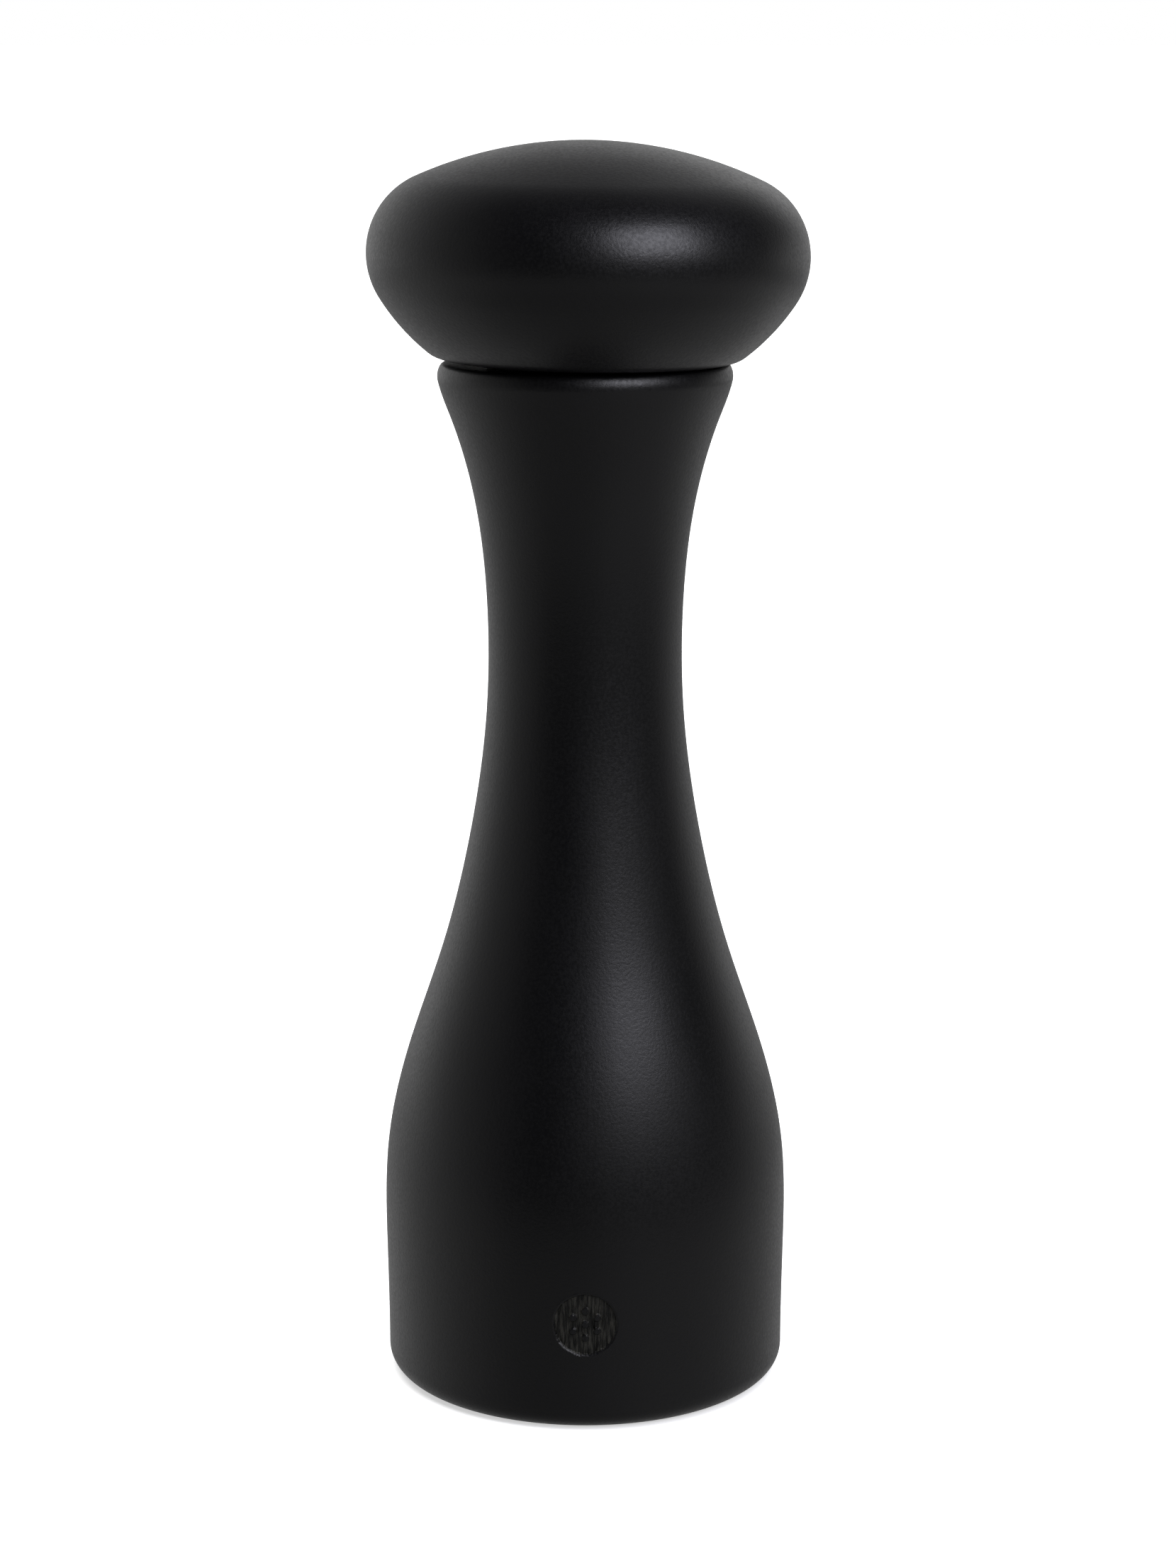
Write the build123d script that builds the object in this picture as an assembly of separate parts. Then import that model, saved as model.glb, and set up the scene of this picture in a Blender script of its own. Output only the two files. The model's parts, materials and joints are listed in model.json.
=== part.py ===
from build123d import *
from math import acos, asin, cos, degrees, radians, sin
import os

# A turned wooden pepper mill with a mushroom head and a screw-adjusted ceramic grinder.
# Millimetres. +Z is up along the turning axis and the origin is the centre of the base.
# Turning the head turns a square shaft, which turns the grinding cone inside the fixed ring.
# The head pulls straight up off the shaft for filling. The knob under the base raises a stud,
# which raises the cone along the shaft against a spring and so sets the grind.

# ---- Driving dimensions of the wood ----
TOTAL_H = 175.3
BARREL_H = 145.2
SEAM = 0.4                      # shadow gap between barrel and head

# Outside of the barrel: (radius, height) of the stations its side curve passes through.
SIDE = [(28.5, 4.0), (28.7, 18.0), (28.3, 34.0), (25.15, 48.0), (20.45, 62.0),
        (16.45, 78.0), (13.9, 96.0), (13.72, 112.0), (15.3, 126.0), (18.7, 138.0)]
FOOT_ROUND = 3.2
COLLAR_R = 20.4
COLLAR_ROUND = 2.8
COLLAR_CORNER = 0.8             # tighter round between the collar's round and its flat top
COLLAR_TURN = 60.0              # degrees from straight up where the two rounds meet
COLLAR_FLARE = 12.0             # degrees the side still flares under the collar's round

# Outside of the head: tangent arcs from the crown round to the underside.
HEAD_R = 30.4
CROWN_R = 57.5
SHOULDER_R = 11.3
FLANK_R = 30.0
FLANK_START = 122.7             # degrees from straight up where the flank takes over
EDGE_R = 4.1

# Bores of the barrel.
RECESS_R = 22.5
RECESS_H = 9.0
CARTRIDGE_R = 19.0              # bore for the grinder cartridge
CARTRIDGE_TOP = 39.0
CHAMBER_R = 10.0                # pepper store around the shaft
FUNNEL_TOP = 48.0
NECK_R = 14.0                   # the head's spigot turns in here
NECK_FLOOR = 132.5
CLIP_GROOVE_R = 20.1
CLIP_GROOVE = (32.0, 34.8)

# Engraved roundel low on the front of the barrel, with a cluster of dots left standing.
ROUNDEL_Z = 15.8
ROUNDEL_R = 4.6
ROUNDEL_DEPTH = 0.35
DOT_R = 0.62
DOT_RING_R = 1.95

# ---- Driving dimensions of the mechanism ----
SHAFT_SIDE = 6.0
SHAFT_Z = (18.2, 158.0)
FIT = 0.1                       # clearance of plastic parts that slide or turn
PIN_R = 0.8
PIN_Z = 41.5

CARTRIDGE_WALL_R = CARTRIDGE_R - 0.2
POCKET_R = 17.1                 # pockets in both ends of the housing
THROAT_R = 15.6
FLANGE_Z = 7.2                  # underside of the housing's flange
GRIND_MARK_R = 19.5             # where the flange's dots for the grind stand
RING_SEAT = 24.0
BRIDGE_SEAT = 34.0
HOUSING_TOP = 38.6
LUG_R = 18.4                    # reach of the bridges' snap lugs
UPPER_LUG = (90, 35.6, 37.2)    # first lug's direction in degrees, low and high
LOWER_LUG = (30, 9.6, 11.2)

RING_R = 16.9
RING_Z = (12.4, 23.4)
CONE_Z = (12.8, 21.4)
CONE_R = 12.15                  # at the cone's foot
CONE_SLOPE = 30.0               # degrees off the axis
GRIND_GAP = 0.6                 # radial gap between ring and cone at the middle setting
WAIST_Z = 17.4                  # where the ring is narrowest

HUB_CORE_R = 5.5
HUB_R = 7.6
HUB_Z = (13.0, 30.2)
SPRING_POCKET_R = 6.2
SPRING_POCKET_Z = 24.5
BALL_R = 2.0
BALL_Z = 13.9

SPIGOT_R = 13.7
SPIGOT_Z = 135.0                # lower end of the head's spigot
HEAD_Z = BARREL_H + SEAM
HEAD_BORE_R = 6.55
HEAD_BORE_TOP = 161.0


# ---- Helpers ----
def turned(*corners):
    """Solid of revolution about Z from the (radius, height) corners of its half section."""
    return revolve(Plane.XZ * make_face(Polyline(*corners, close=True)), Axis.Z)


def disc(radius, low, high):
    """Solid cylinder on the Z axis between two heights."""
    return turned((0, low), (radius, low), (radius, high), (0, high))


def sleeve(inner, outer, low, high):
    """Ring of rectangular section on the Z axis between two heights."""
    return turned((inner, low), (outer, low), (outer, high), (inner, high))


def square_bar(side, low, high):
    """Square bar on the Z axis between two heights."""
    return Pos(0, 0, (low + high) / 2) * Box(side, side, high - low)


def around(shape, count, start=0.0):
    """Copies of a shape, evenly spaced about Z."""
    return [Rot(0, 0, start + i * 360 / count) * shape for i in range(count)]


def arc_point(centre, radius, angle):
    """Point of a circle, at an angle in degrees from straight up towards the outside."""
    a = radians(angle)
    return (centre[0] + radius * sin(a), centre[1] + radius * cos(a))


def arc(centre, radius, start, end):
    """Arc between two angles measured as in arc_point."""
    stops = [arc_point(centre, radius, a) for a in (start, (start + end) / 2, end)]
    return ThreePointArc(*stops)


def cone_radius(z):
    """Radius of the grinding cone at a height."""
    return CONE_R - (z - CONE_Z[0]) * sin(radians(CONE_SLOPE)) / cos(radians(CONE_SLOPE))


def groove(start, end, depth, half_width, lean):
    """V-shaped cutter along a line between two (radius, height) points of a turned surface.

    The V's bottom lies depth inside the surface to the left of the line's direction, and lean
    turns the cutter about the surface's normal, in degrees, so that the teeth slant."""
    along = Vector(end[0] - start[0], 0, end[1] - start[1])
    plane = Plane(origin=(start[0], 0, start[1]), x_dir=(0, 1, 0), z_dir=along)
    mouth = -depth * 0.5
    profile = plane * make_face(
        Polyline((-half_width * 1.5, mouth), (half_width * 1.5, mouth), (0, depth), close=True)
    )
    bar = extrude(profile, along.length)
    middle = Vector((start[0] + end[0]) / 2, 0, (start[1] + end[1]) / 2)
    normal = Axis(middle, plane.y_dir)
    return bar.rotate(normal, lean)


# ---- Turned wood ----
def barrel_side():
    """Outer edges of the barrel's half section, from the foot up over the collar."""
    foot_r, foot_z = SIDE[0]
    foot_centre = (foot_r - FOOT_ROUND, FOOT_ROUND)
    foot = arc(foot_centre, FOOT_ROUND, 180, 90)
    offset = COLLAR_ROUND - COLLAR_CORNER
    round_z = BARREL_H - COLLAR_CORNER - offset * cos(radians(COLLAR_TURN))
    round_c = (COLLAR_R - COLLAR_ROUND, round_z)
    collar = arc(round_c, COLLAR_ROUND, 90 + COLLAR_FLARE, COLLAR_TURN)
    corner = arc(arc_point(round_c, offset, COLLAR_TURN), COLLAR_CORNER, COLLAR_TURN, 0)
    stations = [foot @ 1] + SIDE[1:] + [collar @ 0]
    tangents = [(sin(radians(a)), cos(radians(a))) for a in (0, COLLAR_FLARE)]
    return foot, Spline(*stations, tangents=tangents), collar, corner


def make_barrel():
    """The wooden body: bored for the cartridge, the pepper store and the head's spigot."""
    foot, side, collar, corner = barrel_side()
    bore = [
        (RECESS_R + 0.6, 0), (RECESS_R, 0.6), (RECESS_R, RECESS_H), (CARTRIDGE_R, RECESS_H),
        (CARTRIDGE_R, CARTRIDGE_TOP), (CHAMBER_R, FUNNEL_TOP), (CHAMBER_R, NECK_FLOOR),
        (NECK_R, NECK_FLOOR), (NECK_R, BARREL_H - 0.6), (NECK_R + 0.6, BARREL_H),
    ]
    outline = [
        Line(bore[0], foot @ 0), foot, side, collar, corner, Line(corner @ 1, bore[-1]), Polyline(*bore),
    ]
    body = revolve(Plane.XZ * make_face(outline), Axis.Z)
    body -= sleeve(CARTRIDGE_R - 1, CLIP_GROOVE_R, *CLIP_GROOVE)
    return body - roundel_cutter()


def roundel_cutter():
    """What the engraving removes from the front: a shallow disc, less a dot and six round it."""
    front = Pos(0, -SIDE[1][0], ROUNDEL_Z) * Rot(90, 0, 0)
    punch = front * Cylinder(ROUNDEL_R, 12)
    punch -= front * Cylinder(DOT_R, 14)
    punch -= [front * dot for dot in around(Pos(DOT_RING_R, 0, 0) * Cylinder(DOT_R, 14), 6, 30)]
    floor = disc(SIDE[1][0] - ROUNDEL_DEPTH, ROUNDEL_Z - 8, ROUNDEL_Z + 8)
    return punch - floor


def head_side():
    """Outer edges of the head's half section, from the crown's top round to the underside."""
    crown_c = (0, TOTAL_H - CROWN_R)
    crown_end = degrees(asin((HEAD_R - SHOULDER_R) / (CROWN_R - SHOULDER_R)))
    shoulder_c = arc_point(crown_c, CROWN_R - SHOULDER_R, crown_end)
    flank_c = arc_point(shoulder_c, SHOULDER_R - FLANK_R, FLANK_START)
    flank_end = degrees(acos((HEAD_Z + EDGE_R - flank_c[1]) / (FLANK_R - EDGE_R)))
    edge_c = arc_point(flank_c, FLANK_R - EDGE_R, flank_end)
    return [
        arc(crown_c, CROWN_R, 0, crown_end),
        arc(shoulder_c, SHOULDER_R, crown_end, FLANK_START),
        arc(flank_c, FLANK_R, FLANK_START, flank_end),
        arc(edge_c, EDGE_R, flank_end, 180),
    ]


def make_head():
    """The wooden head, with its spigot, an O-ring groove and a blind bore for the socket."""
    side = head_side()
    ring_z = (139.0, 141.0)
    inside = [
        side[-1] @ 1, (SPIGOT_R, HEAD_Z), (SPIGOT_R, ring_z[1]), (12.1, ring_z[1]), (12.1, ring_z[0]),
        (SPIGOT_R, ring_z[0]), (SPIGOT_R, SPIGOT_Z + 0.6), (SPIGOT_R - 0.6, SPIGOT_Z),
        (HEAD_BORE_R, SPIGOT_Z), (HEAD_BORE_R, HEAD_BORE_TOP), (0, HEAD_BORE_TOP), side[0] @ 0,
    ]
    return revolve(Plane.XZ * make_face([*side, Polyline(*inside)]), Axis.Z)


# ---- Parts fixed in the head ----
def make_head_socket():
    """Moulded plug in the head with a square hole for the shaft and a slotted collet below."""
    flange_z = SPIGOT_Z - 1.3
    collet_z = 126.5
    top = HEAD_BORE_TOP - 0.5
    wall = HEAD_BORE_R - 0.3
    plug = turned(
        (0, collet_z), (5.4, collet_z), (6.2, collet_z + 0.8), (6.2, flange_z), (12.2, flange_z),
        (12.2, SPIGOT_Z), (wall, SPIGOT_Z), (wall, top - 1), (wall - 1, top), (0, top),
    )
    rib = Pos(wall - 0.05, 0, (SPIGOT_Z + top) / 2) * Box(0.6, 1.0, top - SPIGOT_Z - 4)
    plug += around(rib, 8, 22.5)
    plug -= square_bar(SHAFT_SIDE + 2 * FIT, collet_z - 1, SHAFT_Z[1] + 1.5)
    lead_in = Pos(0, 0, collet_z) * Rot(180, 0, 45) * Cone(4.2, 5.1, 2.4)
    plug -= lead_in
    slit = Pos(5.5, 0, (collet_z + flange_z) / 2 - 1) * Box(6, 1.0, flange_z - collet_z)
    plug -= around(slit, 4)
    return plug - sleeve(5.2, 7.0, 128.7, 129.9)


def sector(radius, angle, low, high):
    """Pie slice about Z between two heights, from the X axis anticlockwise."""
    rim = [(radius * cos(radians(a)), radius * sin(radians(a))) for a in (0, angle / 2, angle)]
    slice_face = make_face([Line((0, 0), rim[0]), ThreePointArc(*rim), Line(rim[2], (0, 0))])
    return extrude(Pos(0, 0, low) * slice_face, high - low)


def make_socket_grip_ring():
    """Sprung wire C-ring that closes the collet on the shaft."""
    ring = Pos(0, 0, 129.3) * Torus(5.8, 0.5)
    return ring - Rot(0, 0, -12) * sector(9, 24, 127, 132)


def make_head_o_ring():
    """Rubber ring on the spigot that centres the head and keeps the aroma in."""
    return Pos(0, 0, 140.0) * Torus(13.03, 0.9)


# ---- Shaft and what turns with it ----
def make_drive_shaft():
    """Square shaft from the grinder up into the head."""
    bar = chamfer(square_bar(SHAFT_SIDE, *SHAFT_Z).faces().filter_by(Axis.Z).edges(), 0.8)
    return bar - cross_hole()


def cross_hole():
    """Hole through the bush and the shaft for the cross pin."""
    return Pos(0, 0, PIN_Z) * Rot(0, 90, 0) * Cylinder(PIN_R + 0.02, 20)


def make_shaft_pin():
    """Pin that holds the shaft up in its bush."""
    return Pos(0, 0, PIN_Z) * Rot(0, 90, 0) * Cylinder(PIN_R, 10.4)


def make_shaft_bush():
    """Round plastic bush on the square shaft, running in the upper bridge."""
    bush = turned(
        (0, 32.2), (7.0, 32.2), (7.0, 33.2), (5.5, 33.2), (5.5, 39.2), (4.95, 39.2), (4.95, 39.9),
        (5.5, 39.9), (5.5, 42.6), (5.0, 43.1), (0, 43.1),
    )
    return bush - square_bar(SHAFT_SIDE + 0.1, 30, 45) - cross_hole()


def make_bush_clip():
    """Open retaining clip in the bush's groove, on top of the upper bridge."""
    ring = sleeve(5.0, 7.2, 39.25, 39.85)
    return ring - Pos(6, 0, 39.5) * Box(6, 5.6, 3)


def make_rotor_spring():
    """Coil spring that keeps the cone down on the thrust ball."""
    low, high, wire = 25.1, 32.1, 0.45
    turns = 5.5
    height = high - low - 2 * wire
    path = Pos(0, 0, low + wire) * Helix(height / turns, height, 5.05)
    start = Plane(origin=path @ 0, z_dir=path % 0)
    return sweep(start * Circle(wire), path=path, is_frenet=True)


# ---- The rotor, which slides on the shaft ----
def make_grinding_cone():
    """Ceramic cone with slanted teeth, keyed on the hub."""
    low, high = CONE_Z
    cone = turned(
        (9.0, low), (CONE_R, low), (cone_radius(high), high), (HUB_CORE_R + 0.1, high),
        (HUB_CORE_R + 0.1, low + 1.8), (9.0, low + 1.8),
    )
    fine = groove((cone_radius(low - 1), low - 1), (cone_radius(high + 1), high + 1), 0.75, 0.75, 14)
    coarse_low = WAIST_Z - 0.6
    coarse = groove(
        (cone_radius(coarse_low), coarse_low), (cone_radius(high + 2), high + 2), 1.3, 1.2, 14
    )
    cone -= around(fine, 24)
    cone -= around(coarse, 8, 7.5)
    return cone - hub_keys(0.1)


def hub_keys(clearance):
    """Two ribs that key the cone to the hub's core, widened by a clearance for the keyways."""
    side = 2.0 + 2 * clearance
    reach = 2 * (6.3 + clearance)
    return Pos(0, 0, (CONE_Z[0] + 1.8 + CONE_Z[1]) / 2) * Box(reach, side, CONE_Z[1] - CONE_Z[0] - 1.8)


def make_feed_hub():
    """Plastic hub that carries the cone, feeds the corns down and slides on the shaft."""
    low, high = HUB_Z
    core = turned(
        (0, low), (HUB_CORE_R, low), (HUB_CORE_R, 13.5), (4.6, 13.5), (4.6, 14.6),
        (HUB_CORE_R, 14.6), (HUB_CORE_R, CONE_Z[1]), (7.2, CONE_Z[1]), (HUB_R, CONE_Z[1] + 1),
        (HUB_R, high - 0.8), (HUB_R - 0.8, high), (0, high),
    )
    blade = Pos(9.2, 0, 24.4) * Rot(38, 0, 0) * Box(5.2, 1.9, 12)
    envelope = turned((6.8, 21.9), (10.4, 21.9), (11.4, 23.2), (11.4, 25.2), (8.0, 28.6), (6.8, 28.6))
    hub = core + hub_keys(0)
    hub += [Rot(0, 0, 120 * i) * (blade & envelope) for i in range(3)]
    hub -= disc(SPRING_POCKET_R, SPRING_POCKET_Z, high + 1)
    hub -= square_bar(SHAFT_SIDE + 2 * FIT, 17.0, SPRING_POCKET_Z + 1)
    seat = Pos(0, 0, BALL_Z) * Sphere(BALL_R + 0.05)
    return hub - seat - disc(BALL_R + 0.05, low - 1, BALL_Z)


def make_cone_clip():
    """Open retaining clip that holds the cone on its hub."""
    ring = sleeve(4.7, 8.4, 13.55, 14.5)
    return ring - Pos(6, 0, 14) * Box(8, 5.2, 3)


def make_spring_washer():
    """Steel washer under the spring."""
    return sleeve(4.6, 6.0, SPRING_POCKET_Z, SPRING_POCKET_Z + 0.5)


# ---- Fixed parts of the cartridge ----
def snap_lugs(first, low, high):
    """Three lugs that stand out of a bridge's rim."""
    lug = Pos((16.4 + LUG_R) / 2, 0, (low + high) / 2) * Box(LUG_R - 16.4, 5.0, high - low)
    return around(lug, 3, first)


def lug_windows(first, low, high):
    """Windows in the housing's wall that the lugs snap into."""
    window = Pos(18.5, 0, (low + high) / 2) * Box(4, 5.6, high - low + 0.4)
    return around(window, 3, first)


def make_housing():
    """Moulded housing of the cartridge, with a flange below and two sprung tabs that latch.

    Five raised dots on the flange, small for a fine grind and large for a coarse one, stand round
    the knob."""
    tube = turned(
        (POCKET_R, FLANGE_Z), (21.6, FLANGE_Z), (22.1, FLANGE_Z + 0.5), (22.1, RECESS_H),
        (CARTRIDGE_WALL_R, RECESS_H), (CARTRIDGE_WALL_R, HOUSING_TOP - 0.8),
        (CARTRIDGE_WALL_R - 0.8, HOUSING_TOP), (POCKET_R, HOUSING_TOP), (POCKET_R, BRIDGE_SEAT),
        (THROAT_R, BRIDGE_SEAT), (THROAT_R, RING_SEAT), (POCKET_R, RING_SEAT),
    )
    tube += around(Pos(18.7, 0, 17.5) * Box(0.5, 1.0, 11), 8, 22.5)
    tube += around(Pos(16.8, 0, 18.1) * Box(1.2, 2.0, 10.2), 4, 45)
    tube -= lug_windows(*UPPER_LUG) + lug_windows(*LOWER_LUG)
    for turn, size in zip((144, 72, 0, -72, -144), (0.4, 0.6, 0.8, 1.0, 1.2)):
        tube += Rot(0, 0, turn) * Pos(GRIND_MARK_R, 0, FLANGE_Z) * Cylinder(size, 0.6)
    for turn in (0, 180):
        tube = latch(tube, Rot(0, 0, turn))
    return tube


def latch(tube, side):
    """The tube with one sprung tab cut free in its wall and given a barb for the clip groove."""
    low, high, half = 24.6, 36.8, 4.0
    middle, length = (low + high) / 2, high - low
    slits = [Pos(18, y, middle) * Box(6, 1.0, length) for y in (-half - 0.5, half + 0.5)]
    gap = Pos(18, 0, high - 0.6) * Box(6, 2 * half, 1.2)
    tab = Pos(18, 0, middle) * Box(6, 2 * half, length)
    hollow = sleeve(THROAT_R - 1, 17.3, low, BRIDGE_SEAT)
    barb = turned((18.2, 32.1), (19.9, 32.1), (19.9, 32.7), (CARTRIDGE_WALL_R, 34.6), (18.2, 34.6))
    tube -= [side * cut for cut in (*slits, gap, hollow & tab)]
    return tube + side * (barb & tab)


def make_grinding_ring():
    """Ceramic ring: a toothed throat that narrows to a waist and opens again to the outlet."""
    low, high = RING_Z
    outlet = (cone_radius(CONE_Z[0]) + GRIND_GAP, CONE_Z[0])
    waist = (cone_radius(WAIST_Z) + GRIND_GAP, WAIST_Z)
    throat = (14.2, high)
    ring = turned(
        (outlet[0] + 0.4, low), (RING_R - 0.5, low), (RING_R, low + 0.5), (RING_R, high - 0.5),
        (RING_R - 0.5, high), throat, waist, outlet,
    )
    fine = groove(waist, (outlet[0] + 0.6, outlet[1] - 1), 0.6, 0.6, 14)
    coarse = groove((throat[0] + 0.7, throat[1] + 1), waist, 1.3, 1.2, -16)
    ring -= around(fine, 36)
    ring -= around(coarse, 12)
    notch = Pos(RING_R, 0, (low + high) / 2) * Box(2.0, 2.4, high - low)
    return ring - around(notch, 4, 45)


def make_ring_gasket():
    """Thin cushion between the ceramic ring and the housing's shoulder."""
    return sleeve(14.8, RING_R, RING_Z[1], RING_SEAT)


def make_upper_bridge():
    """Three-armed bridge that carries the shaft's bush above the grinder."""
    bridge = sleeve(15.2, POCKET_R - 0.1, BRIDGE_SEAT, HOUSING_TOP)
    bridge += sleeve(5.58, 7.6, 33.4, 39.0)
    arm = Plane.YZ * make_face(
        Polyline((-1.4, 34.5), (1.4, 34.5), (1.4, 37.2), (0.5, 38.3), (-0.5, 38.3), (-1.4, 37.2), close=True)
    )
    bridge += around(Pos(6.8, 0, 0) * extrude(arm, 9.2), 3, 30)
    return bridge + snap_lugs(*UPPER_LUG)


def make_lower_bridge():
    """Three-armed bridge under the grinder, with the guide for the stud and the knob's sleeve."""
    hub_z = (8.0, 11.2)
    bridge = sleeve(15.2, POCKET_R - 0.1, FLANGE_Z, RING_Z[0])
    bridge += turned(
        (0, 4.6), (5.2, 4.6), (5.6, 5.0), (5.6, 5.2), (5.0, 5.2), (5.0, 5.8), (5.6, 5.8), (5.6, hub_z[0]),
        (8.0, hub_z[0]), (8.0, 10.6), (7.4, hub_z[1]), (0, hub_z[1]),
    )
    arm = Pos(11.6, 0, 9.5) * Box(8.8, 3.2, 2.6)
    bridge += around(arm, 3, 90)
    bridge += snap_lugs(*LOWER_LUG)
    bridge -= disc(4.3, 4, hub_z[0])
    return bridge - square_bar(4.6, hub_z[0] - 1, hub_z[1] + 1)


# ---- Adjusting parts ----
def make_adjusting_knob():
    """Fluted knob under the base; its threaded bore drives the stud."""
    knob = turned(
        (2.6, 1.4), (3.2, 1.4), (3.2, 1.2), (9.7, 1.2), (10.5, 2.0), (10.5, 6.8), (9.9, 7.4),
        (5.75, 7.4), (5.75, 5.95), (6.4, 5.95), (6.4, 5.05), (5.75, 5.05), (5.75, 3.9), (4.2, 3.9),
        (4.2, 7.6), (2.6, 7.6),
    )
    flute = Pos(11.6, 0, 4.5) * Cylinder(1.75, 8)
    knob -= around(flute, 14)
    pointer = Pos(0, 0, 1.2) * Polyline((4.6, -1.6), (4.6, 1.6), (8.2, 0), close=True)
    return knob - extrude(make_face(pointer), 0.5)


def make_knob_clip():
    """Open retaining clip that holds the knob up on the lower bridge's sleeve."""
    ring = sleeve(5.1, 6.3, 5.27, 5.73)
    return ring - Pos(6, 0, 5.5) * Box(4, 3.2, 2)


def make_friction_washer():
    """Thin washer above the knob that keeps it where it is set."""
    return sleeve(5.8, 7.9, 7.45, 7.95)


def make_lift_stud():
    """Threaded stud with a square guide above; the knob moves it up and down without turning."""
    low, thread_top, guide_low, high = 2.4, 7.0, 8.9, 12.6
    stud = turned((0, low), (2.0, low), (2.5, low + 0.5), (2.5, thread_top), (2.1, thread_top), (2.1, 9), (0, 9))
    stud += square_bar(4.4, guide_low, high)
    stud -= Pos(0, 0, low) * Box(6, 0.9, 1.8)
    return stud - Pos(0, 0, BALL_Z) * Sphere(BALL_R + 0.02)


def make_thrust_ball():
    """Steel ball between the still stud and the turning hub."""
    return Pos(0, 0, BALL_Z) * Sphere(BALL_R)


PARTS = {
    "barrel": make_barrel,
    "mechanism_housing": make_housing,
    "grinding_ring": make_grinding_ring,
    "ring_gasket": make_ring_gasket,
    "upper_bridge": make_upper_bridge,
    "lower_bridge": make_lower_bridge,
    "friction_washer": make_friction_washer,
    "knob_clip": make_knob_clip,
    "adjusting_knob": make_adjusting_knob,
    "lift_stud": make_lift_stud,
    "thrust_ball": make_thrust_ball,
    "drive_shaft": make_drive_shaft,
    "shaft_bush": make_shaft_bush,
    "shaft_pin": make_shaft_pin,
    "bush_clip": make_bush_clip,
    "rotor_spring": make_rotor_spring,
    "feed_hub": make_feed_hub,
    "grinding_cone": make_grinding_cone,
    "cone_clip": make_cone_clip,
    "spring_washer": make_spring_washer,
    "head": make_head,
    "head_socket": make_head_socket,
    "socket_grip_ring": make_socket_grip_ring,
    "head_o_ring": make_head_o_ring,
}


def main():
    os.makedirs("parts", exist_ok=True)
    for name, make in PARTS.items():
        export_step(make(), f"parts/{name}.step")


main()
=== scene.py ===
"""Looks of a turned pepper mill in satin black lacquer, with a mushroom head and a ceramic grinder.

The wooden barrel and head are turned again here as fine meshes, with the engraved roundel cut into
the barrel's front. The grinder's pieces keep their CAD shapes and get their own materials.
"""

import json
import math

import bpy
import numpy as np
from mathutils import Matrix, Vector, noise


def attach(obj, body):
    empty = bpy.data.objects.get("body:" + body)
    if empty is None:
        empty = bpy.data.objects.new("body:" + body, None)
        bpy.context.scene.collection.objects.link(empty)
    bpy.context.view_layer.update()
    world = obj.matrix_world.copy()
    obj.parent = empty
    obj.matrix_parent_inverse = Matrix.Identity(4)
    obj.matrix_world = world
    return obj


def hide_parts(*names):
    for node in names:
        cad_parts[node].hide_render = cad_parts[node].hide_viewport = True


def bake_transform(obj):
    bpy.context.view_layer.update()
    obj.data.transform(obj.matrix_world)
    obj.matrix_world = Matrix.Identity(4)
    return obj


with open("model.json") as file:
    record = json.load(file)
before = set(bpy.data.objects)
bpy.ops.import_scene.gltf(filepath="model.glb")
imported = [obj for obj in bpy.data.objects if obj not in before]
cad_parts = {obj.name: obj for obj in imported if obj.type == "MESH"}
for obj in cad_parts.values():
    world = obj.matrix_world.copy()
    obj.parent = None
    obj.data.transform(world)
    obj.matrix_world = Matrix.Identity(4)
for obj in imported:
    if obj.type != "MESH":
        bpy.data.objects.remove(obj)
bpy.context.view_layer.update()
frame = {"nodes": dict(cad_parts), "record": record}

MM = 0.001

# ---- Driving sizes of the wood, in millimetres ----
TOTAL_H = 175.3
BARREL_H = 145.2
SEAM = 0.4

SIDE = [(28.5, 4.0), (28.7, 18.0), (28.3, 34.0), (25.15, 48.0), (20.45, 62.0),
        (16.45, 78.0), (13.9, 96.0), (13.72, 112.0), (15.3, 126.0), (18.7, 138.0)]
FOOT_ROUND = 3.2
COLLAR_R = 20.4
COLLAR_ROUND = 2.8
COLLAR_CORNER = 0.8
COLLAR_TURN = 60.0
COLLAR_FLARE = 12.0

HEAD_R = 30.4
CROWN_R = 57.5
SHOULDER_R = 11.3
FLANK_R = 30.0
FLANK_START = 122.7
EDGE_R = 4.1

RECESS_R = 22.5
RECESS_H = 9.0
CARTRIDGE_R = 19.0
CARTRIDGE_TOP = 39.0
CHAMBER_R = 10.0
FUNNEL_TOP = 48.0
NECK_R = 14.0
NECK_FLOOR = 132.5
CLIP_GROOVE_R = 20.1
CLIP_GROOVE = (32.0, 34.8)

SPIGOT_R = 13.7
SPIGOT_LOW = 135.0
RING_GROOVE_R = 12.1
RING_GROOVE = (139.0, 141.0)
HEAD_BORE_R = 6.55
HEAD_BORE_TOP = 161.0
HEAD_LEAN = 0.9
HEAD_SHIFT = 0.2

ROUNDEL_Z = 15.8
ROUNDEL_R = 4.6
ROUNDEL_DEPTH = 0.35
DOT_R = 0.62
DOT_RING_R = 1.95
FINE_STEP = 0.09
FINE_MARGIN = 0.8

# ---- The camera, in metres and degrees ----
CAMERA_AT = (0.0, -0.4785, 0.1893)
CAMERA_TILT = 12.30
CAMERA_LENS = 79.54


# ---- Camera, light and floor ----
def make_camera():
    """A long lens 48 cm in front of the mill, a little above its head and tilted down."""
    data = bpy.data.cameras.new("camera")
    data.lens = CAMERA_LENS
    data.sensor_width = 36.0
    data.shift_x = 0.0018
    data.shift_y = 0.0036
    data.clip_start = 0.02
    camera = bpy.data.objects.new("camera", data)
    camera.location = CAMERA_AT
    camera.rotation_euler = (math.radians(90 - CAMERA_TILT), 0.0, 0.0)
    bpy.context.scene.collection.objects.link(camera)
    bpy.context.scene.camera = camera


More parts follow.
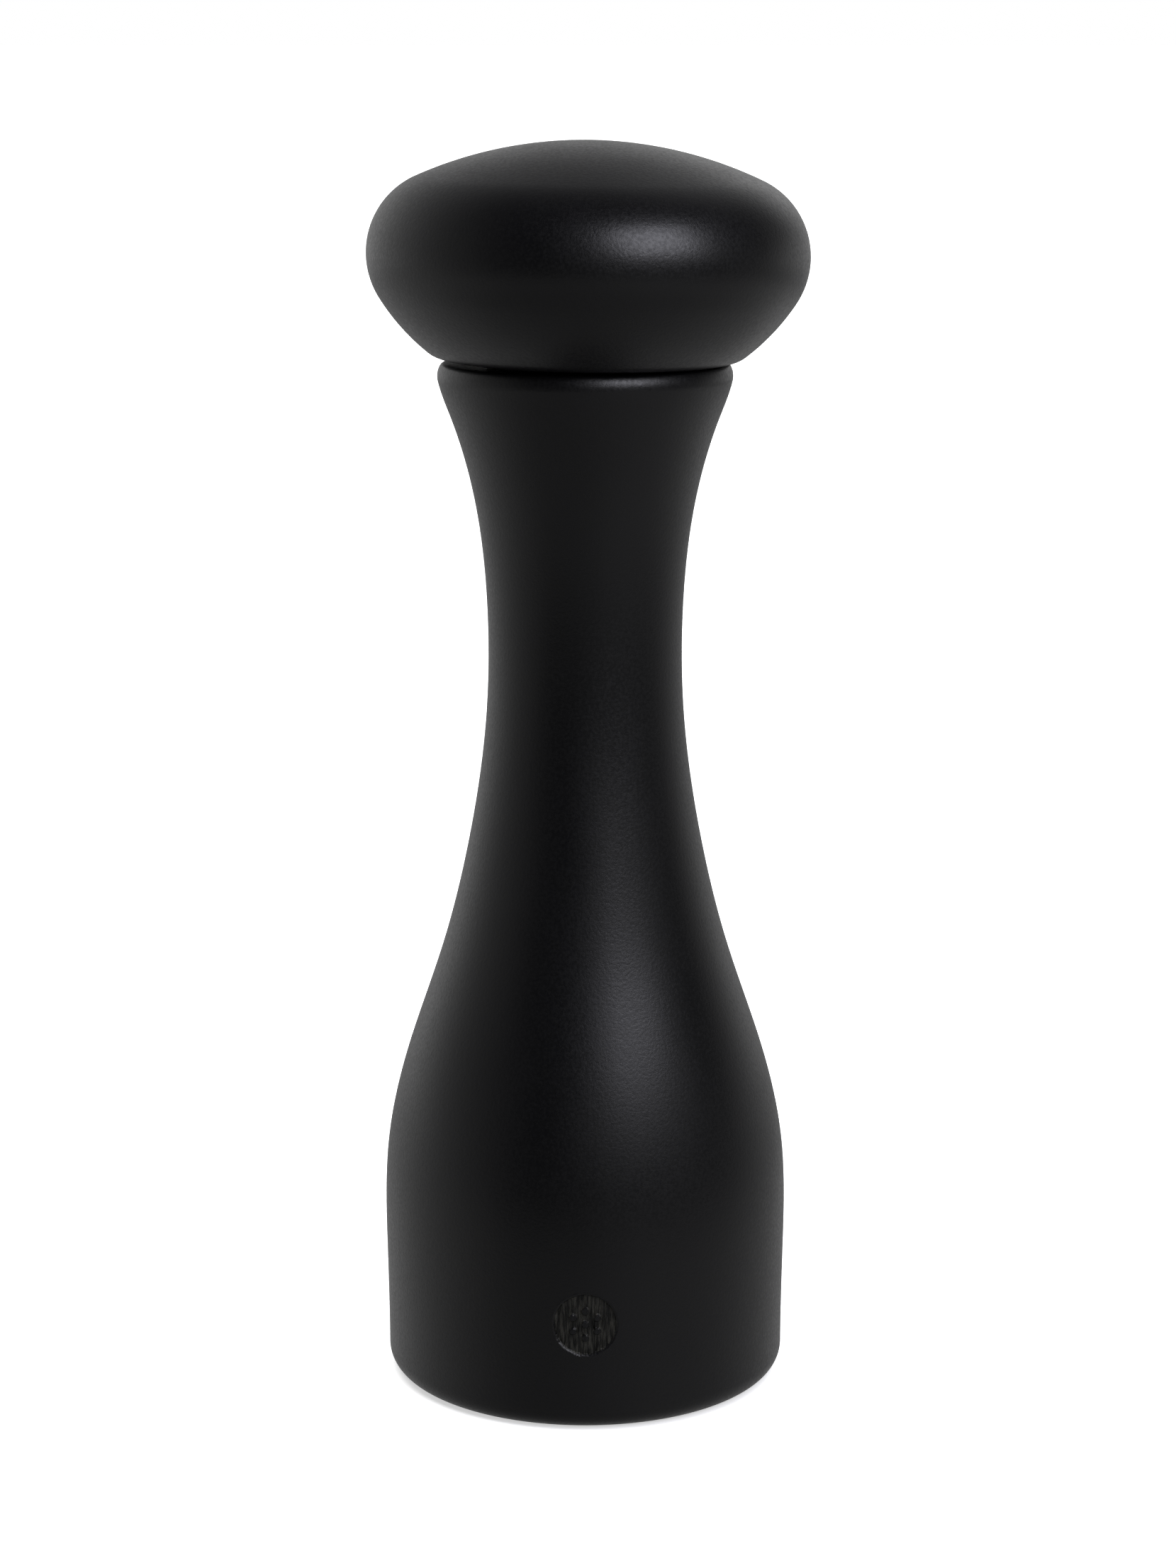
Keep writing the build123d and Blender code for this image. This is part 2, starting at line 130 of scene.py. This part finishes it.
def softbox(name, azimuth, elevation, distance, size, power, colour, aim):
    """Rectangular area light aimed at a point, at a bearing from the front, positive to the right."""
    data = bpy.data.lights.new(name, "AREA")
    data.shape = "RECTANGLE"
    data.size, data.size_y = size
    data.energy = power
    data.color = colour
    light = bpy.data.objects.new(name, data)
    a, e = math.radians(azimuth), math.radians(elevation)
    away = Vector((math.sin(a) * math.cos(e), -math.cos(a) * math.cos(e), math.sin(e)))
    light.location = Vector(aim) + away * distance
    light.rotation_euler = away.to_track_quat("Z", "Y").to_euler()
    light.visible_camera = False
    bpy.context.scene.collection.objects.link(light)


def broad_light(name, energy, tilt):
    """Wide soft sun, straight down at tilt 0 and straight up at 180, that leaves no highlight."""
    data = bpy.data.lights.new(name, "SUN")
    data.energy = energy
    data.angle = math.radians(70)
    sun = bpy.data.objects.new(name, data)
    sun.rotation_euler = (math.radians(tilt), 0.0, 0.0)
    sun.visible_glossy = False
    bpy.context.scene.collection.objects.link(sun)


def make_lights():
    """A key softbox at the front right, a soft sun that whitens the table and one for the underside."""
    softbox(
        "key_softbox", azimuth=37, elevation=31, distance=0.7, size=(0.44, 0.40), power=2.72,
        colour=(0.90, 0.90, 1.0), aim=(0, 0, 0.16),
    )
    broad_light("overhead", 3.4, 0)
    broad_light("underside", 1.2, 180)


def back_glow(net, x, y, z):
    """Pale studio behind the mill, brightest from eye level up a little, with a band high on the right."""
    level = net.ramp(z, -0.1, 0.1, 0.0, 1.0)
    low_part = net.ramp(y, -0.35, 0.85, 0.025, 0.42)
    high_part = net.ramp(y, -0.15, 1.0, 0.02, 0.42)
    back = net.mix(level, low_part, high_part)
    back = net.math("MULTIPLY", back, net.ramp(z, -0.26, -0.02, 0.4, 1.32))
    back = net.math("MULTIPLY", back, net.ramp(z, 0.3, 0.6, 1.08, 0.5))
    high_right = net.math("MULTIPLY", net.ramp(x, 0.0, 0.25, 1.0, 1.5), net.ramp(x, 0.4, 0.75, 1.0, 0.3))
    high_right = net.mix(net.ramp(z, 0.05, 0.3, 0.0, 1.0), 1.0, high_right)
    return net.math("MULTIPLY", back, high_right)


def left_glow(net, x, y, z):
    """Pale wall on the left."""
    towards = net.math("ADD", net.math("MULTIPLY", x, -0.95), net.math("MULTIPLY", y, 0.3))
    glow = net.ramp(towards, 0.3, 1.05, 0.0, 0.27)
    return net.math("MULTIPLY", glow, net.ramp(z, -0.38, -0.12, 0.65, 1.0))


def front_right_glow(net, x, y, z):
    """Fill at the front right, from eye level up."""
    towards = net.math("SUBTRACT", net.math("MULTIPLY", x, 0.62), net.math("MULTIPLY", y, 0.77))
    glow = net.ramp(towards, 0.6, 0.95, 0.0, 0.27)
    return net.math("MULTIPLY", glow, net.ramp(z, -0.1, 0.15, 0.0, 1.0))


def table_glow(net, x, z):
    """The table as the lacquer mirrors it, brighter on the side of the key light."""
    glow = net.math("MULTIPLY", net.ramp(z, -0.13, -0.34, 0.0, 1.0), net.ramp(z, -0.4, -0.65, 0.205, 0.15))
    return net.math("MULTIPLY", glow, net.ramp(x, -0.1, 0.6, 1.0, 1.5))


def make_world():
    """White behind the mill; in reflections a dark studio front and paler sides, back and table."""
    world = bpy.data.worlds.new("studio")
    bpy.context.scene.world = world
    world.use_nodes = True
    net = Net(world.node_tree)
    bearing = net.node("ShaderNodeTexCoord")
    split = net.node("ShaderNodeSeparateXYZ", Vector=bearing.outputs["Generated"])
    x, y, z = (split.outputs[axis] for axis in "XYZ")
    walls = net.math("ADD", back_glow(net, x, y, z), left_glow(net, x, y, z))
    rest = net.math("ADD", table_glow(net, x, z), front_right_glow(net, x, y, z))
    soft = net.math("ADD", walls, rest)
    path = net.node("ShaderNodeLightPath")
    strength = net.mix(path.outputs["Is Camera Ray"], soft, 1.0)
    glow = net.node("ShaderNodeBackground", Color=(1.0, 1.0, 1.0, 1.0), Strength=strength)
    out = net.node("ShaderNodeOutputWorld")
    net.link(glow.outputs[0], out.inputs["Surface"])


def make_floor():
    """A plain white table, open from below so that the underside can be seen."""
    mesh = bpy.data.meshes.new("table")
    half = 60.0
    corners = [(-half, -half, 0), (half, -half, 0), (half, half, 0), (-half, half, 0)]
    mesh.from_pydata(corners, [], [(0, 1, 2, 3)])
    table = bpy.data.objects.new("table", mesh)
    bpy.context.scene.collection.objects.link(table)
    material, net = new_material("table_white")
    matt = net.node("ShaderNodeBsdfDiffuse", Color=(0.93, 0.93, 0.93, 1.0))
    lit = net.node("ShaderNodeEmission", Color=(1.0, 1.0, 1.0, 1.0), Strength=0.55)
    pale = net.node("ShaderNodeAddShader")
    net.link(matt.outputs[0], pale.inputs[0])
    net.link(lit.outputs[0], pale.inputs[1])
    clear = net.node("ShaderNodeBsdfTransparent")
    side = net.node("ShaderNodeNewGeometry")
    both = net.node("ShaderNodeMixShader", Fac=side.outputs["Backfacing"])
    net.link(pale.outputs[0], both.inputs[1])
    net.link(clear.outputs[0], both.inputs[2])
    net.finish(both.outputs[0])
    mesh.materials.append(material)
    table.visible_diffuse = False
    table.visible_glossy = False
    table.visible_shadow = False


# ---- Node helpers ----
class Net:
    """Short ways to add nodes to one node tree."""

    def __init__(self, tree):
        self.tree = tree
        tree.nodes.clear()

    def link(self, source, target):
        self.tree.links.new(source, target)

    def node(self, kind, settings=None, **inputs):
        made = self.tree.nodes.new(kind)
        for key, value in (settings or {}).items():
            setattr(made, key, value)
        for key, value in inputs.items():
            self.fill(made.inputs[key.replace("_", " ")], value)
        return made

    def fill(self, socket, value):
        """Links another node's output to the socket, or sets the socket to a plain value."""
        if isinstance(value, bpy.types.NodeSocket):
            self.link(value, socket)
        else:
            socket.default_value = value

    def math(self, operation, first, second):
        made = self.node("ShaderNodeMath", {"operation": operation})
        for socket, value in zip(made.inputs, (first, second)):
            self.fill(socket, value)
        return made.outputs[0]

    def ramp(self, value, low, high, at_low, at_high):
        """Smooth step from one level to another as the value goes from low to high."""
        made = self.node("ShaderNodeMapRange", {"interpolation_type": "SMOOTHSTEP"}, Value=value)
        limits = (low, high, at_low, at_high) if low < high else (high, low, at_high, at_low)
        for socket, limit in zip(made.inputs[1:5], limits):
            socket.default_value = limit
        return made.outputs[0]

    def mix(self, share, first, second):
        made = self.node("ShaderNodeMix")
        for socket, value in zip((made.inputs[0], made.inputs[2], made.inputs[3]), (share, first, second)):
            self.fill(socket, value)
        return made.outputs[0]

    def tint(self, share, first, second):
        """Mixes a linked colour with a plain one."""
        made = self.node("ShaderNodeMix", {"data_type": "RGBA"})
        self.link(share, made.inputs[0])
        self.link(first, made.inputs[6])
        made.inputs[7].default_value = (*second, 1.0)
        return made.outputs[2]

    def colours(self, share, stops):
        made = self.node("ShaderNodeValToRGB", Fac=share)
        band = made.color_ramp
        while len(band.elements) < len(stops):
            band.elements.new(0.5)
        for element, (place, colour) in zip(band.elements, stops):
            element.position = place
            element.color = (*colour, 1.0)
        return made.outputs[0]

    def place(self, stretch):
        """Object coordinates, scaled along each axis."""
        where = self.node("ShaderNodeTexCoord")
        scaled = self.node("ShaderNodeMapping", Vector=where.outputs["Object"])
        scaled.inputs["Scale"].default_value = stretch
        return scaled.outputs[0]

    def noise(self, stretch, scale, detail, rough):
        made = self.node(
            "ShaderNodeTexNoise", Vector=self.place(stretch), Scale=scale, Detail=detail, Roughness=rough
        )
        return made.outputs["Fac"]

    def bump(self, height, distance, normal=None):
        made = self.node("ShaderNodeBump", Height=height, Distance=distance)
        if normal is not None:
            self.link(normal, made.inputs["Normal"])
        return made.outputs[0]

    def finish(self, shader):
        out = self.node("ShaderNodeOutputMaterial")
        self.link(shader, out.inputs["Surface"])


def new_material(name):
    material = bpy.data.materials.new(name)
    material.use_nodes = True
    return material, Net(material.node_tree)


# ---- Materials ----
def lacquer():
    """Satin black lacquer: a faint orange-peel grain over straight, nearly filled wood grain."""
    material, net = new_material("satin_black_lacquer")
    peel = net.noise((1, 1, 1), 2400, 2.0, 0.6)
    pores = net.noise((1, 1, 0.05), 1500, 3.0, 0.6)
    cloud = net.noise((1, 1, 0.4), 60, 3.0, 0.5)
    colour = net.colours(cloud, [(0.3, (0.0023, 0.0023, 0.0028)), (0.7, (0.0034, 0.0033, 0.0040))])
    uneven = net.math("ADD", net.math("MULTIPLY", cloud, 0.35), net.math("MULTIPLY", peel, 0.65))
    rough = net.ramp(uneven, 0.36, 0.64, 0.30, 0.41)
    normal = net.bump(peel, 0.000024, net.bump(pores, 0.000006))
    shader = net.node("ShaderNodeBsdfPrincipled", Base_Color=colour, Roughness=rough, Normal=normal, IOR=1.5)
    net.finish(shader.outputs[0])
    return material


def engraved():
    """The roundel's floor: bare cut fibres under a thin coat of black."""
    material, net = new_material("engraved_black")
    fibre = net.noise((1, 1, 0.14), 2600, 3.0, 0.65)
    colour = net.colours(fibre, [(0.42, (0.0010, 0.0010, 0.0008)), (0.62, (0.0300, 0.0290, 0.0240))])
    rough = net.ramp(fibre, 0.3, 0.7, 0.36, 0.58)
    normal = net.bump(fibre, 0.00006)
    shader = net.node("ShaderNodeBsdfPrincipled", Base_Color=colour, Roughness=rough, Normal=normal, IOR=1.45)
    net.finish(shader.outputs[0])
    return material


def raw_beech():
    """Unfinished close-grained beech of the bores, with its short darker flecks."""
    material, net = new_material("raw_beech")
    grain = net.noise((1, 1, 0.06), 420, 5.0, 0.65)
    fleck = net.noise((1, 1, 0.18), 1500, 2.0, 0.5)
    wood = net.colours(
        grain, [(0.3, (0.40, 0.235, 0.125)), (0.55, (0.50, 0.315, 0.18)), (0.8, (0.58, 0.39, 0.235))]
    )
    colour = net.tint(net.ramp(fleck, 0.62, 0.70, 0.0, 0.55), wood, (0.20, 0.10, 0.05))
    rough = net.ramp(grain, 0.3, 0.7, 0.62, 0.78)
    normal = net.bump(fleck, 0.00003, net.bump(grain, 0.00005))
    shader = net.node("ShaderNodeBsdfPrincipled", Base_Color=colour, Roughness=rough, Normal=normal)
    net.finish(shader.outputs[0])
    return material


def moulded(name, colour, rough, spread=0.25):
    """Moulded plastic with a fine spark-eroded skin and a little unevenness."""
    material, net = new_material(name)
    skin = net.noise((1, 1, 1), 3500, 3.0, 0.6)
    cloud = net.noise((1, 1, 1), 150, 3.0, 0.5)
    dark = tuple(c * (1 - spread) for c in colour)
    light = tuple(min(1.0, c * (1 + spread)) for c in colour)
    shader = net.node(
        "ShaderNodeBsdfPrincipled", Base_Color=net.colours(cloud, [(0.3, dark), (0.7, light)]),
        Roughness=net.ramp(cloud, 0.3, 0.7, rough - 0.06, rough + 0.06), Normal=net.bump(skin, 0.000008),
    )
    net.finish(shader.outputs[0])
    return material


def ceramic():
    """Fired off-white ceramic, matt and faintly speckled."""
    material, net = new_material("grinder_ceramic")
    speck = net.noise((1, 1, 1), 2200, 2.0, 0.5)
    cloud = net.noise((1, 1, 1), 90, 3.0, 0.5)
    body = net.colours(cloud, [(0.3, (0.72, 0.70, 0.65)), (0.7, (0.80, 0.785, 0.74))])
    colour = net.tint(net.ramp(speck, 0.66, 0.72, 0.0, 0.5), body, (0.42, 0.39, 0.34))
    rough = net.ramp(cloud, 0.3, 0.7, 0.45, 0.55)
    normal = net.bump(speck, 0.00001)
    shader = net.node("ShaderNodeBsdfPrincipled", Base_Color=colour, Roughness=rough, Normal=normal)
    net.finish(shader.outputs[0])
    return material


def metal(name, colour, rough, stretch=(1, 1, 1), depth=0.000004):
    """Bare metal with fine drawing or turning marks along the stretched direction."""
    material, net = new_material(name)
    marks = net.noise(stretch, 2600, 4.0, 0.65)
    cloud = net.noise((1, 1, 1), 120, 2.0, 0.5)
    dull = tuple(c * 0.86 for c in colour)
    shader = net.node(
        "ShaderNodeBsdfPrincipled", Base_Color=net.colours(cloud, [(0.3, dull), (0.7, colour)]), Metallic=1.0,
        Roughness=net.ramp(marks, 0.3, 0.7, rough - 0.05, rough + 0.07), Normal=net.bump(marks, depth),
    )
    net.finish(shader.outputs[0])
    return material


MATERIALS = {
    "lacquered_wood": lacquer(),
    "engraved": engraved(),
    "raw_beech": raw_beech(),
    "housing_plastic": moulded("housing_plastic", (0.022, 0.022, 0.023), 0.46),
    "bridge_plastic": moulded("bridge_plastic", (0.055, 0.055, 0.058), 0.50),
    "knob_plastic": moulded("knob_plastic", (0.030, 0.030, 0.031), 0.42),
    "hub_plastic": moulded("hub_plastic", (0.035, 0.035, 0.036), 0.50),
    "bush_plastic": moulded("bush_plastic", (0.74, 0.72, 0.66), 0.38, 0.04),
    "socket_plastic": moulded("socket_plastic", (0.030, 0.030, 0.031), 0.48),
    "washer_plastic": moulded("washer_plastic", (0.76, 0.75, 0.71), 0.45, 0.04),
    "seal_rubber": moulded("seal_rubber", (0.018, 0.018, 0.018), 0.66),
    "grinder_ceramic": ceramic(),
    "spring_steel": metal("spring_steel", (0.60, 0.61, 0.62), 0.26),
    "pin_steel": metal("pin_steel", (0.64, 0.64, 0.65), 0.30, (1, 0.08, 1)),
    "stud_brass": metal("stud_brass", (0.78, 0.58, 0.28), 0.28, (0.1, 0.1, 1)),
    "polished_steel": metal("polished_steel", (0.78, 0.78, 0.79), 0.10, depth=0.0000005),
    "shaft_aluminium": metal("shaft_aluminium", (0.80, 0.80, 0.81), 0.30, (1, 1, 0.02)),
}


# ---- Turned shapes ----
def arc_point(centre, radius, angle):
    """Point of a circle, at an angle in degrees from straight up towards the outside."""
    a = math.radians(angle)
    return (centre[0] + radius * math.sin(a), centre[1] + radius * math.cos(a))


def arc(centre, radius, start, end, step=2.5):
    """Points along an arc between two such angles."""
    count = max(2, math.ceil(abs(end - start) / step)) + 1
    return [arc_point(centre, radius, a) for a in np.linspace(start, end, count)]


def clamped_spline(stations, first, last):
    """Smooth curve through the stations with given end directions, as a function of chord length."""
    p = np.array(stations, float)
    h = np.hypot(*np.diff(p, axis=0).T)
    slope = np.diff(p, axis=0) / h[:, None]
    system = np.eye(len(p))
    right = np.zeros_like(p)
    right[0], right[-1] = first, last
    for i in range(1, len(p) - 1):
        system[i, i - 1:i + 2] = h[i], 2 * (h[i - 1] + h[i]), h[i - 1]
        right[i] = 3 * (h[i] * slope[i - 1] + h[i - 1] * slope[i])
    tangent = np.linalg.solve(system, right)
    knots = np.concatenate([[0], np.cumsum(h)])

    def curve(s):
        i = np.clip(np.searchsorted(knots, s, "right") - 1, 0, len(h) - 1)
        t = ((s - knots[i]) / h[i])[:, None]
        rise = h[i][:, None]
        start = (2 * t**3 - 3 * t**2 + 1) * p[i] + (t**3 - 2 * t**2 + t) * rise * tangent[i]
        end = (3 * t**2 - 2 * t**3) * p[i + 1] + (t**3 - t**2) * rise * tangent[i + 1]
        return start + end

    return curve, knots[-1]


def barrel_side():
    """Outside of the barrel from the foot to the collar's top, dense where the roundel is cut."""
    foot_r = SIDE[0][0]
    foot = arc((foot_r - FOOT_ROUND, FOOT_ROUND), FOOT_ROUND, 180, 90)
    offset = COLLAR_ROUND - COLLAR_CORNER
    round_z = BARREL_H - COLLAR_CORNER - offset * math.cos(math.radians(COLLAR_TURN))
    round_c = (COLLAR_R - COLLAR_ROUND, round_z)
    collar = arc(round_c, COLLAR_ROUND, 90 + COLLAR_FLARE, COLLAR_TURN)
    corner = arc(arc_point(round_c, offset, COLLAR_TURN), COLLAR_CORNER, COLLAR_TURN, 0, 5)
    flare = math.radians(COLLAR_FLARE)
    stations = [foot[-1], *SIDE[1:], collar[0]]
    curve, length = clamped_spline(stations, (0, 1), (math.sin(flare), math.cos(flare)))
    near = ROUNDEL_Z - FOOT_ROUND
    fine = np.arange(near - ROUNDEL_R - FINE_MARGIN, near + ROUNDEL_R + FINE_MARGIN, FINE_STEP)
    coarse = np.arange(1.2, length - 0.6, 1.2)
    coarse = coarse[(coarse < fine[0] - 0.4) | (coarse > fine[-1] + 0.4)]
    along = np.sort(np.concatenate([fine, coarse]))
    return [*foot, *map(tuple, curve(along)), *collar, *corner[1:]]


def head_side():
    """Outside of the head from the top of the crown round to the flat underside."""
    crown_c = (0, TOTAL_H - CROWN_R)
    crown_end = math.degrees(math.asin((HEAD_R - SHOULDER_R) / (CROWN_R - SHOULDER_R)))
    shoulder_c = arc_point(crown_c, CROWN_R - SHOULDER_R, crown_end)
    flank_c = arc_point(shoulder_c, SHOULDER_R - FLANK_R, FLANK_START)
    head_z = BARREL_H + SEAM
    flank_end = math.degrees(math.acos((head_z + EDGE_R - flank_c[1]) / (FLANK_R - EDGE_R)))
    edge_c = arc_point(flank_c, FLANK_R - EDGE_R, flank_end)
    return [
        *arc(crown_c, CROWN_R, 0, crown_end, 0.8),
        *arc(shoulder_c, SHOULDER_R, crown_end, FLANK_START)[1:],
        *arc(flank_c, FLANK_R, FLANK_START, flank_end, 0.8)[1:],
        *arc(edge_c, EDGE_R, flank_end, 180)[1:],
    ]


def turned(outline, bearings):
    """Points and faces of a closed shape turned about Z from (radius, height) points in millimetres.

    The outline runs up the outside. One that starts and ends on the axis closes at its two poles,
    and any other is a loop.
    Bearings are angles from the front, positive to the right, in radians."""
    ring = len(bearings)
    on_axis = outline[0][0] < 1e-9
    rows = outline[1:-1] if on_axis else outline
    r, z = np.array(rows).T
    sin, cos = np.sin(bearings), np.cos(bearings)
    points = np.stack([np.outer(r, sin), np.outer(r, -cos), np.repeat(z[:, None], ring, 1)], 2).reshape(-1, 3)
    base = np.arange(ring)
    following = (base + 1) % ring
    bands = range(len(rows) - 1) if on_axis else range(len(rows))
    faces = []
    for band in bands:
        low, high = band * ring, (band + 1) % len(rows) * ring
        faces += np.stack([low + base, low + following, high + following, high + base], 1).tolist()
    if on_axis:
        first, last = len(points), len(points) + 1
        points = np.vstack([points, (0, 0, outline[0][1]), (0, 0, outline[-1][1])])
        end = (len(rows) - 1) * ring
        faces += [[first, b, a] for a, b in zip(base.tolist(), following.tolist())]
        faces += [[last, end + a, end + b] for a, b in zip(base.tolist(), following.tolist())]
    return points, faces


def mesh_object(name, points, faces, materials, material_of):
    """Mesh object from points in millimetres, smooth but for its real corners."""
    mesh = bpy.data.meshes.new(name)
    mesh.from_pydata((points * MM).tolist(), [], faces)
    for material in materials:
        mesh.materials.append(MATERIALS[material])
    mesh.polygons.foreach_set("material_index", material_of)
    mesh.shade_smooth()
    mesh.set_sharp_from_angle(angle=math.radians(32))
    mesh.update()
    made = bpy.data.objects.new(name, mesh)
    bpy.context.scene.collection.objects.link(made)
    return made


# ---- The engraved roundel ----
def wavy(*where):
    """Smooth noise from about -1 to 1."""
    return noise.noise(Vector(where))


def step(share):
    """Smooth step from 0 to 1."""
    s = min(1.0, max(0.0, share))
    return s * s * (3 - 2 * s)


def cut_depth(u, v):
    """Depth of the engraving at a place on the surface, right and up from the roundel's centre.

    The floor shows the torn vertical fibres of the wood, the rim is a little ragged, and a domed
    dot with six round it stands on the floor."""
    reach = math.hypot(u, v)
    turn = math.atan2(v, u)
    rim = ROUNDEL_R + 0.06 * wavy(3.1 * math.cos(turn), 3.1 * math.sin(turn), 2.0)
    rim += 0.05 * wavy(14 * math.cos(turn), 14 * math.sin(turn), 7.0)
    if reach > rim + 0.25:
        return 0.0
    inward = rim - reach
    inside = min(1.0, max(0.0, inward / 0.6)) if inward < 0.26 else step((inward - 0.05) / 0.34)
    fibre = 0.7 * wavy(u * 2.6, v * 0.3, 1.0) + wavy(u * 5.2, v * 0.6, 4.0)
    floor = ROUNDEL_DEPTH + 0.11 * fibre
    for a in (None, *np.radians(range(30, 390, 60))):
        out = 0.0 if a is None else DOT_RING_R
        du, dv = u - out * math.cos(a or 0), v - out * math.sin(a or 0)
        edge = DOT_R + 0.05 * wavy(u * 5, v * 5, 9.0)
        dome = step((edge - math.hypot(du, dv)) / 0.22)
        floor = floor * (1 - dome) + (0.05 + 0.03 * fibre) * dome
    lip = math.exp(-((reach - rim - 0.06) / 0.05) ** 2)
    chipped = step(2.2 * wavy(5 * math.cos(turn), 5 * math.sin(turn), 3.3) + 0.3)
    return inside * floor - 0.035 * lip * chipped


def make_barrel():
    """The wooden body with all its bores, lacquered outside and bare inside."""
    side = barrel_side()
    neck_mouth = [(NECK_R + 0.6, BARREL_H), (NECK_R + 0.15, BARREL_H - 0.2), (NECK_R, BARREL_H - 0.6)]
    bore = [
        (NECK_R, NECK_FLOOR), (CHAMBER_R + 0.4, NECK_FLOOR), (CHAMBER_R, NECK_FLOOR - 0.4),
        (CHAMBER_R, FUNNEL_TOP), (CARTRIDGE_R, CARTRIDGE_TOP), (CARTRIDGE_R, CLIP_GROOVE[1]),
        (CLIP_GROOVE_R, CLIP_GROOVE[1]), (CLIP_GROOVE_R, CLIP_GROOVE[0]), (CARTRIDGE_R, CLIP_GROOVE[0]),
        (CARTRIDGE_R, RECESS_H), (RECESS_R, RECESS_H), (RECESS_R, 0.6), (RECESS_R + 0.15, 0.2),
        (RECESS_R + 0.6, 0.0),
    ]
    outline = [*side, *neck_mouth, *bore]
    half = (ROUNDEL_R + FINE_MARGIN) / SIDE[1][0]
    fine = np.arange(-half, half, FINE_STEP / SIDE[1][0])
    coarse = np.linspace(half, 2 * math.pi - half, 180)
    bearings = np.concatenate([fine, coarse[:-1]])
    points, faces = turned(outline, bearings)
    radius = np.hypot(points[:, 0], points[:, 1])
    bearing = np.arctan2(points[:, 0], -points[:, 1])
    reach_z = np.abs(points[:, 2] - ROUNDEL_Z)
    near = (np.abs(bearing) < half) & (reach_z < ROUNDEL_R + FINE_MARGIN) & (radius > RECESS_R + 3)
    cut = np.zeros(len(points))
    for i in np.flatnonzero(near):
        cut[i] = cut_depth(bearing[i] * radius[i], points[i, 2] - ROUNDEL_Z)
    points[:, :2] *= (1 - cut / radius)[:, None]
    ring = len(bearings)
    first_bare = len(side) + len(neck_mouth)
    material_of = np.zeros(len(faces), int)
    material_of[(first_bare - 1) * ring:] = 1
    deep = cut > ROUNDEL_DEPTH * 0.35
    corners = np.array(faces)
    material_of[deep[corners].sum(1) >= 3] = 2
    materials = ("lacquered_wood", "raw_beech", "engraved")
    barrel = mesh_object("barrel_turned", points, faces, materials, material_of)
    finish_piece(barrel, "barrel", "barrel")


def make_head():
    """The wooden head with its spigot, lacquered down to the ring's groove and bare below and inside.

    Its spigot has some play in the neck, and the head rests a little askew in it."""
    side = head_side()
    spigot = [
        (SPIGOT_R + 0.4, BARREL_H + SEAM), (SPIGOT_R, BARREL_H + SEAM - 0.4), (SPIGOT_R, RING_GROOVE[1]),
        (RING_GROOVE_R, RING_GROOVE[1]), (RING_GROOVE_R, RING_GROOVE[0]), (SPIGOT_R, RING_GROOVE[0]),
        (SPIGOT_R, SPIGOT_LOW + 0.6), (SPIGOT_R - 0.6, SPIGOT_LOW), (HEAD_BORE_R, SPIGOT_LOW),
        (HEAD_BORE_R, HEAD_BORE_TOP), (0.0, HEAD_BORE_TOP),
    ]
    outline = [*side, *spigot][::-1]
    ring = 256
    points, faces = turned(outline, np.linspace(0, 2 * math.pi, ring, endpoint=False))
    lean = math.radians(HEAD_LEAN)
    side_step, rise = points[:, 0].copy(), points[:, 2] - BARREL_H
    points[:, 0] = side_step * math.cos(lean) + rise * math.sin(lean) + HEAD_SHIFT
    points[:, 2] = BARREL_H + rise * math.cos(lean) - side_step * math.sin(lean)
    material_of = np.zeros(len(faces), int)
    bare_bands = len(spigot) - 4
    material_of[:bare_bands * ring] = 1
    bands = len(outline) - 3
    bore_end = slice(bands * ring, (bands + 1) * ring)
    material_of[bore_end] = 1
    head = mesh_object("head_turned", points, faces, ("lacquered_wood", "raw_beech"), material_of)
    finish_piece(head, "head", "head")


def finish_piece(piece, body, node):
    """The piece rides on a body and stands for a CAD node."""
    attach(piece, body)
    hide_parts(node)


def dress_cad_nodes():
    """Each CAD node that stays visible gets the detailed material of its slot."""
    for part in frame["record"]["subparts"]:
        node = frame["nodes"][part["node"]]
        node.data.materials.clear()
        node.data.materials.append(MATERIALS[part["material_slot"]])


def make_spring():
    """The rotor spring between the hub and the bush on the shaft, as a baked copy of its CAD node."""
    node = frame["nodes"]["rotor_spring"]
    spring = bpy.data.objects.new("rotor_coil", node.data.copy())
    spring.matrix_world = node.matrix_world
    bpy.context.scene.collection.objects.link(spring)
    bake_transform(spring)
    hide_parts("rotor_spring")


make_camera()
make_world()
make_lights()
make_floor()
dress_cad_nodes()
make_barrel()
make_head()
make_spring()
bpy.context.scene.view_settings.view_transform = "Standard"
